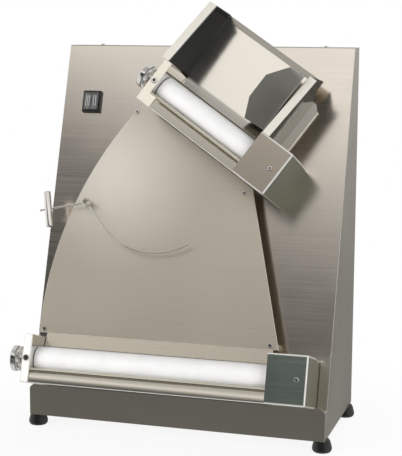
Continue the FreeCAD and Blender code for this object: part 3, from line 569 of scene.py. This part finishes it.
# ---------------------------------------------------------------- knobs
def build_knob(prefix):
    """Stepped chrome knob with a knurled ring, its spindle and the cam."""
    name = f"{prefix}_thickness_knob"
    axis = ALONG[prefix]
    joint = joint_place(f"{prefix}_knob_turn")
    low, high = reach(name, axis)
    start = joint + axis * (low - joint.dot(axis))
    end = (high - low) / MM
    grip = 20
    corners = [(1.0, 0, 0), (1.0, 5.2, 0), (0.2, 5.6, 0), (0, 6, 0), (0, grip, 2.6), (8.4, grip, 0.6),
               (8.4, 17.4, 0.3), (9.6, 17.4, 0.3), (9.6, 19.4, 0.4), (15.4, 19.4, 0.6),
               (15.9, 15, 0.5), (18.6, 14.4, 0.6), (19.6, 12.8, 0), (38, 12.8, 0.4), (38, 5, 0),
               (end - 3, 5, 0), (end - 3, 0, 0)]
    profile = [(a * MM, r * MM) for a, r in rounded(corners)]
    rings = [i for i, (a, r) in enumerate(profile) if 9.9 * MM < a < 15.2 * MM and r > 19 * MM]
    knurling = (min(rings, default=0), max(rings, default=-1), 60, 0.5 * MM)
    body = lathe(profile, start, axis, 240, knurling)
    # the cam is the knob's last 3 mm, outside its spindle
    cam_side = [p for p in (v.co for v in NODES[name].data.vertices)
                if p.dot(axis) > high - 3.2 * MM
                and (p - joint - axis * (p - joint).dot(axis)).length > 5.5 * MM]
    middle, cam_low, cam_high = axis_point(cam_side, axis)
    radius = max((p - middle - axis * p.dot(axis)).length for p in cam_side)
    gauge = cam_high - cam_low
    cam = lathe([(0, 0), (0, radius - 0.3 * MM), (0.3 * MM, radius), (gauge - 0.3 * MM, radius),
                 (gauge, radius - 0.3 * MM), (gauge, 0)], middle + axis * cam_low, axis, 64)
    add_piece(f"{name}_form", join([body, cam], f"{name}_form"), name, chrome)


# ---------------------------------------------------------------- feet
def build_feet():
    """Black rubber bells, rounded at the rim."""
    bells = []
    for points in islands("rubber_feet"):
        middle, low, high = axis_point(points, UP)
        under = (kick_low.z - low) / MM
        corners = [(0, 0, 0), (0, 12.6, 1.4), (3.2, 15.1, 1.5), (7.5, 15.2, 2), (under - 2, 12.2, 2.4),
                   (under, 10.6, 0), (under, 3, 0), (under + 9, 3, 0.5), (under + 9, 0, 0)]
        bells.append(lathe([(a * MM, r * MM) for a, r in rounded(corners)],
                           Vector((middle.x, middle.y, low)), UP))
    add_piece("rubber_feet_form", join(bells, "rubber_feet_form"), "rubber_feet", black_rubber)


# ---------------------------------------------------------------- screws
def screw_axis(points):
    """The direction that a screw's head faces: the one it is longest along."""
    return max((OUT, UP), key=lambda axis: max(p.dot(axis) for p in points)
               - min(p.dot(axis) for p in points))


def build_screws(name):
    """Pan-head screws with a hexagon socket, as wide as the CAD has them."""
    head_height, shank, socket_depth = 2.2, 1.9, 1.2
    heads = []
    socket_shade_discs = []
    for points in islands(name):
        axis = screw_axis(points)
        middle, low, high = axis_point(points, axis)
        out = sorted({round((p - middle - axis * p.dot(axis)).length / MM, 1) for p in points})
        head, crown = out[-1], out[-2]
        socket = min(out)
        top = (high - low) / MM
        seat = top - head_height
        corners = [(0, 0, 0), (0, shank, 0), (seat, shank, 0), (seat, head - 0.2, 0.15),
                   (seat + 0.8, head, 0.6), (top, crown, 0.4), (top, socket + 0.3, 0.15),
                   (top - socket_depth, socket + 0.2, 0), (top - socket_depth, 0, 0)]
        heads.append(lathe([(a * MM, r * MM) for a, r in rounded(corners, 3)], middle + axis * low,
                           axis, 36))
        # a black hexagon at the bottom of each socket, painted shade in the hole
        wall = socket * MM + 0.22 * MM
        socket_shade_discs.append(lathe([(0, 0), (0, wall), (0.5 * MM, wall), (0.5 * MM, 0)],
                             middle + axis * (high - 1.3 * MM), axis, 6))
    add_piece(f"{name}_form", join(heads, f"{name}_form"), name, screw_steel)
    add_piece(f"{name}_sockets", join(socket_shade_discs, f"{name}_sockets"), name, painted_socket_shade, stands=False)


# ---------------------------------------------------------------- switch
def soft_block(name, low, high, radius, like, material, segments=4, stands=True):
    """A block between two corners given as (across, slope, out), with all edges rounded."""
    shape = bmesh.new()
    corners = []
    for x in (low[0], high[0]):
        for s in (low[1], high[1]):
            for n in (low[2], high[2]):
                corners.append(shape.verts.new(ACROSS * x + SLOPE * s + OUT * n))
    for quad in ((0, 1, 3, 2), (4, 6, 7, 5), (0, 4, 5, 1), (2, 3, 7, 6), (0, 2, 6, 4), (1, 5, 7, 3)):
        shape.faces.new([corners[i] for i in quad])
    bmesh.ops.recalc_face_normals(shape, faces=shape.faces)
    bmesh.ops.bevel(shape, geom=list(shape.edges), offset=radius, segments=segments, profile=0.5,
                    affect="EDGES")
    mesh = bpy.data.meshes.new(name)
    shape.to_mesh(mesh)
    shape.free()
    smooth(mesh, 50)
    return add_piece(name, mesh, like, material, stands)


def build_switch():
    """Black frame, two dark keys with pale ribs, a clear boot over them."""
    bent_sheet("switch_body", 1.6 * MM, 4, rim=0.4 * MM)
    for word, count in (("start", 3), ("stop", 2)):
        key = f"{word}_button"
        x_low, x_high = reach(key, ACROSS)
        s_low, s_high = reach(key, SLOPE)
        n_low, n_high = reach(key, OUT)
        soft_block(f"{key}_form", (x_low, s_low, n_low), (x_high, s_high, n_high), 1.2 * MM, key,
                   key_plastic)
        gap = (x_high - x_low) / (count + 1)
        for rib in range(count):
            middle = x_low + gap * (rib + 1)
            soft_block(f"{key}_rib_{rib}", (middle - 0.75 * MM, s_low + 5 * MM, n_high - 0.6 * MM),
                       (middle + 0.75 * MM, s_high - 4 * MM, n_high + 0.5 * MM), 0.45 * MM, key,
                       mark_plastic, 2, stands=False)
    # the boot stands on the frame, clear of the keys
    x_low, x_high = reach("switch_body", ACROSS)
    s_low, s_high = reach("switch_body", SLOPE)
    rim = reach("switch_body", OUT)[1]
    inset = 3.2 * MM
    soft_block("switch_boot", (x_low + inset, s_low + inset, rim - 0.4 * MM),
               (x_high - inset, s_high - inset, rim + 3.6 * MM), 1.9 * MM, "switch_body", boot_plastic,
               stands=False)


# ---------------------------------------------------------------- balance
def build_balance():
    """Turned cross bar on the bent wire."""
    bent_sheet("balance_wire", 0.3 * MM)
    points = [v.co.copy() for v in NODES["balance_weight"].data.vertices]
    axis = bar_direction(points)
    middle, start, end = axis_point(points, axis)
    side = axis.orthogonal().normalized()
    radius = (max(p.dot(side) for p in points) - min(p.dot(side) for p in points)) / 2
    length = end - start
    profile = rounded([(0, 0, 0), (0, radius, 2.2 * MM), (length, radius, 2.2 * MM), (length, 0, 0)], 5)
    mesh = lathe(profile, middle + axis * start, axis, 48)
    add_piece("balance_weight_form", mesh, "balance_weight", bar_aluminium)


def bar_direction(points):
    """The long direction of the cross bar, from its farthest pair of ends across OUT."""
    flat = [p - OUT * p.dot(OUT) for p in points]
    far = max(flat, key=lambda p: p.z)
    near = min(flat, key=lambda p: p.z)
    best = (far - near).normalized()
    for _ in range(40):
        for turn in (-1, 1):
            trial = (Matrix.Rotation(math.radians(0.25 * turn), 3, OUT) @ best).normalized()
            if width_across(flat, trial) < width_across(flat, best):
                best = trial
    return best


def width_across(points, axis):
    """How wide points lie across an axis in the plane of the front panel."""
    side = OUT.cross(axis)
    places = [p.dot(side) for p in points]
    return max(places) - min(places)


# ---------------------------------------------------------------- sheet metal
def build_sheets():
    for name in ("left_side_panel", "right_side_panel", "front_panel", "kick_panel", "rear_cover"):
        bent_sheet(name, 1.8 * MM, rim=0.4 * MM, bright=edge_highlight_steel)
    # the plate's foot leans back 14 degrees from its face. This direction is a little beyond
    # it, so that it picks the foot and not the face.
    foot = math.radians(20)
    foot_out = OUT * math.cos(foot) + SLOPE * math.sin(foot)
    # the foot takes the darker finish, a painted shade
    bent_sheet("slide_plate", 2.0 * MM, 3, [(foot_out, shaded_foot_steel)],
               rim=0.4 * MM, bright=edge_highlight_steel, crease=11)
    for prefix in PREFIXES:
        # the covers' end faces take their unit's painted light or shade
        bent_sheet(f"{prefix}_gear_cover", 2.4 * MM, 4, [(ALONG[prefix], lit_and_shaded_cover_end_steel[prefix])],
                   bright=edge_highlight_steel)
        bent_sheet(f"{prefix}_left_end_plate", 1.2 * MM, 3, [(ALONG[prefix], mirror_steel)],
                   bright=edge_highlight_steel)
        bent_sheet(f"{prefix}_right_end_plate", 0.6 * MM)
        bent_sheet(f"{prefix}_tie_bars", 0.3 * MM)
        bent_sheet(f"{prefix}_scrapers", 0.3 * MM)
    tilt = math.radians(8.4)   # how far the hopper walls' lips look up
    lip_out = OUT * math.cos(tilt) + RISE["upper"] * math.sin(tilt)
    rim_out = (OUT + ALONG["upper"]).normalized()
    # the walls' lips and rims take the pale finish, a painted highlight
    for name in ("hopper_left_wall", "hopper_right_wall"):
        bent_sheet(name, 1.2 * MM, 3, [(lip_out, rim_highlight_steel), (rim_out, rim_highlight_steel)], rim=0.3 * MM)
    # the hem's faces take the dark finish, a painted shade
    hem = reach("hopper_back", RISE["upper"])[1] - 14 * MM
    bent_sheet("hopper_back", 1.2 * MM, rim=0.3 * MM,
               finishes=[(OUT, shaded_hem_steel, hem), (RISE["upper"], shaded_hem_steel, hem)])
    bent_sheet("dough_deflector", 1.2 * MM, rim=0.3 * MM)
    bent_sheet("front_lips", 1.4 * MM, rim=0.4 * MM, bright=edge_highlight_steel)
    bent_sheet("balance_stud", 0.3 * MM)


build_sheets()
for prefix in PREFIXES:
    for word in ("front", "rear"):
        build_roller(prefix, word)
    build_knob(prefix)
build_feet()
for name in ("plate_screws", "unit_screws", "casing_screws"):
    build_screws(name)
build_switch()
build_balance()


# ---------------------------------------------------------------- studio
MACHINE_MIDDLE = Vector((0, 0, 0.35))


def look_at(item, target):
    direction = Vector(target) - item.location
    item.rotation_mode = "QUATERNION"
    item.rotation_quaternion = direction.to_track_quat("-Z", "Y")


def lamp(name, place, target, size, power):
    """A soft white lamp that mirrors don't show."""
    data = bpy.data.lights.new(name, "AREA")
    data.shape = "RECTANGLE"
    data.size, data.size_y = size
    data.energy = power
    item = bpy.data.objects.new(name, data)
    bpy.context.scene.collection.objects.link(item)
    item.location = place
    look_at(item, target)
    item.visible_glossy = False


def stage_mesh(name, mesh, material):
    mesh.materials.append(material)
    item = bpy.data.objects.new(name, mesh)
    bpy.context.scene.collection.objects.link(item)
    return item


def build_floor():
    material, nodes, links, shader = new_material("floor_paper")
    shader.inputs["Base Color"].default_value = (0.86, 0.86, 0.86, 1)
    shader.inputs["Roughness"].default_value = 0.9
    shader.inputs["Specular IOR Level"].default_value = 0.1
    rays = nodes.new("ShaderNodeLightPath")
    # pure white to the camera, but for a faint shadow close around the feet
    far = nodes.new("ShaderNodeVectorMath")
    far.operation = "LENGTH"
    links.new(object_space(nodes), far.inputs[0])
    fade = nodes.new("ShaderNodeMapRange")
    fade.interpolation_type = "SMOOTHSTEP"
    fade.inputs["From Min"].default_value = 0.25
    fade.inputs["From Max"].default_value = 0.6
    fade.inputs["To Min"].default_value = 0.88
    links.new(far.outputs["Value"], fade.inputs["Value"])
    seen = combined(nodes, links, "MULTIPLY", rays.outputs["Is Camera Ray"], fade.outputs["Result"])
    white = nodes.new("ShaderNodeEmission")
    white.inputs["Strength"].default_value = 1.0
    mix = nodes.new("ShaderNodeMixShader")
    links.new(seen, mix.inputs["Fac"])
    links.new(shader.outputs[0], mix.inputs[1])
    links.new(white.outputs[0], mix.inputs[2])
    links.new(mix.outputs[0], nodes["Material Output"].inputs["Surface"])
    half = 30
    corners = [(-half, -half, 0), (half, -half, 0), (half, half, 0), (-half, half, 0)]
    mesh = bpy.data.meshes.new("floor")
    mesh.from_pydata(corners, [], [(0, 1, 2, 3)])
    item = stage_mesh("floor", mesh, material)
    item.visible_glossy = False


def ramp(nodes, stops):
    """A smooth colour ramp from (place, grey level) pairs."""
    node = nodes.new("ShaderNodeValToRGB")
    elements = node.color_ramp.elements
    while len(elements) > 1:
        elements.remove(elements[-1])
    for index, (place, level) in enumerate(stops):
        element = elements[0] if index == 0 else elements.new(place)
        element.position = place
        element.color = (level, level, level, 1)
    return node


def build_tent():
    """A light tent that only reflections see: bright above, dark low in front, bright at both sides."""
    radius = 6
    mesh = bpy.data.meshes.new("tent")
    shape = bmesh.new()
    bmesh.ops.create_icosphere(shape, subdivisions=4, radius=radius)
    shape.to_mesh(mesh)
    shape.free()
    material = bpy.data.materials.new("tent_light")
    material.use_nodes = True
    nodes = material.node_tree.nodes
    links = material.node_tree.links
    nodes.clear()
    output = nodes.new("ShaderNodeOutputMaterial")
    glow = nodes.new("ShaderNodeEmission")
    links.new(glow.outputs[0], output.inputs["Surface"])
    unit = nodes.new("ShaderNodeVectorMath")
    unit.operation = "NORMALIZE"
    links.new(object_space(nodes), unit.inputs[0])
    parts = nodes.new("ShaderNodeSeparateXYZ")
    links.new(unit.outputs[0], parts.inputs[0])
    x, y, z = (parts.outputs[axis] for axis in "XYZ")
    # height as seen from the machine, lifted towards the right, from 0 below to 1 above
    height = combined(nodes, links, "ADD", z, combined(nodes, links, "MULTIPLY", x, 0.15))
    scaled = combined(nodes, links, "MULTIPLY", combined(nodes, links, "ADD", height, 1.0), 0.5)
    front = ramp(nodes, [(0.0, 0.9), (0.10, 0.8), (0.20, 0.22), (0.38, 0.10), (0.42, 0.14),
                         (0.44, 0.28), (0.50, 0.12), (0.60, 0.05), (0.67, 0.09), (0.69, 0.20),
                         (0.707, 0.35), (0.724, 0.42), (0.74, 0.62), (0.752, 0.98), (0.765, 1.25),
                         (0.80, 1.2), (0.86, 0.6), (1.0, 0.5)])
    back = ramp(nodes, [(0.0, 0.9), (0.10, 0.7), (0.20, 0.22), (0.42, 0.23), (0.52, 0.42),
                        (0.7, 0.8), (1.0, 0.9)])
    for node in (front, back):
        links.new(scaled, node.inputs["Fac"])

    def step(value, low, high):
        node = nodes.new("ShaderNodeMapRange")
        node.interpolation_type = "SMOOTHSTEP"
        node.inputs["From Min"].default_value = low
        node.inputs["From Max"].default_value = high
        links.new(value, node.inputs["Value"])
        return node.outputs["Result"]

    def blend(factor, first, second):
        node = nodes.new("ShaderNodeMix")
        node.data_type = "RGBA"
        links.new(factor, node.inputs["Factor"])
        for socket, value in (("A", first), ("B", second)):
            if isinstance(value, float):
                node.inputs[socket].default_value = (value, value, value, 1)
            else:
                links.new(value, node.inputs[socket])
        return node.outputs["Result"]

    # a dark patch of the room, low in front on the left
    aside = combined(nodes, links, "MULTIPLY", x, -1.0)
    patch = combined(nodes, links, "MULTIPLY", step(aside, 0.24, 0.32),
                     combined(nodes, links, "SUBTRACT", 1.0, step(aside, 0.42, 0.50)))
    patch = combined(nodes, links, "MULTIPLY", patch, step(z, 0.15, 0.30))
    patch = combined(nodes, links, "MULTIPLY", patch,
                     combined(nodes, links, "SUBTRACT", 1.0, step(z, 0.45, 0.53)))
    near = blend(combined(nodes, links, "MULTIPLY", patch, 0.85), front.outputs["Color"], 0.02)
    both = blend(step(y, -0.15, 0.25), near, back.outputs["Color"])
    sides = step(combined(nodes, links, "ABSOLUTE", x, 0.0), 0.56, 0.74)
    links.new(blend(sides, both, 0.95), glow.inputs["Color"])
    item = stage_mesh("tent", mesh, material)
    item.location = MACHINE_MIDDLE
    item.visible_camera = False
    item.visible_diffuse = False
    item.visible_shadow = False
    item.visible_transmission = False


def build_world():
    world = bpy.data.worlds.new("studio")
    bpy.context.scene.world = world
    world.use_nodes = True
    nodes = world.node_tree.nodes
    links = world.node_tree.links
    nodes.clear()
    output = nodes.new("ShaderNodeOutputWorld")
    soft = nodes.new("ShaderNodeBackground")
    soft.inputs["Color"].default_value = (1, 1, 1, 1)
    soft.inputs["Strength"].default_value = 0.45
    white = nodes.new("ShaderNodeBackground")
    white.inputs["Color"].default_value = (1, 1, 1, 1)
    white.inputs["Strength"].default_value = 1.0
    rays = nodes.new("ShaderNodeLightPath")
    seen = combined(nodes, links, "MAXIMUM", rays.outputs["Is Camera Ray"],
                    combined(nodes, links, "MAXIMUM", rays.outputs["Is Transmission Ray"],
                             rays.outputs["Is Glossy Ray"]))
    mix = nodes.new("ShaderNodeMixShader")
    links.new(seen, mix.inputs["Fac"])
    links.new(soft.outputs[0], mix.inputs[1])
    links.new(white.outputs[0], mix.inputs[2])
    links.new(mix.outputs[0], output.inputs["Surface"])


def build_camera():
    """The viewing angle, from the casing's own middle, front and bottom edge."""
    azimuth, elevation, roll = math.radians(16.64), math.radians(8.9), math.radians(0.29)
    distance = 2.1217
    target = CASING + Vector((0, 0.150, 0.2919))
    back = Vector((math.sin(azimuth) * math.cos(elevation), -math.cos(azimuth) * math.cos(elevation),
                   math.sin(elevation)))
    level = Vector((math.cos(azimuth), math.sin(azimuth), 0))
    upright = back.cross(level)
    right = level * math.cos(roll) + upright * math.sin(roll)
    data = bpy.data.cameras.new("camera")
    data.sensor_width = 36
    data.lens = 102.86
    item = bpy.data.objects.new("camera", data)
    bpy.context.scene.collection.objects.link(item)
    turn = Matrix((right, back.cross(right), back)).transposed()
    item.matrix_world = Matrix.Translation(target + back * distance) @ turn.to_4x4()
    bpy.context.scene.camera = item


build_floor()
build_tent()
build_world()
build_camera()
for lamp_name, place, size, power in (("key", (-1.3, -1.7, 1.0), (1.4, 1.4), 28),
                                      ("fill", (1.9, -1.6, 1.0), (1.4, 1.6), 25),
                                      ("back_light", (0.6, 1.8, 2.4), (1.6, 1.2), 30)):
    lamp(lamp_name, place, MACHINE_MIDDLE, size, power)

scene = bpy.context.scene
scene.view_settings.view_transform = "Standard"
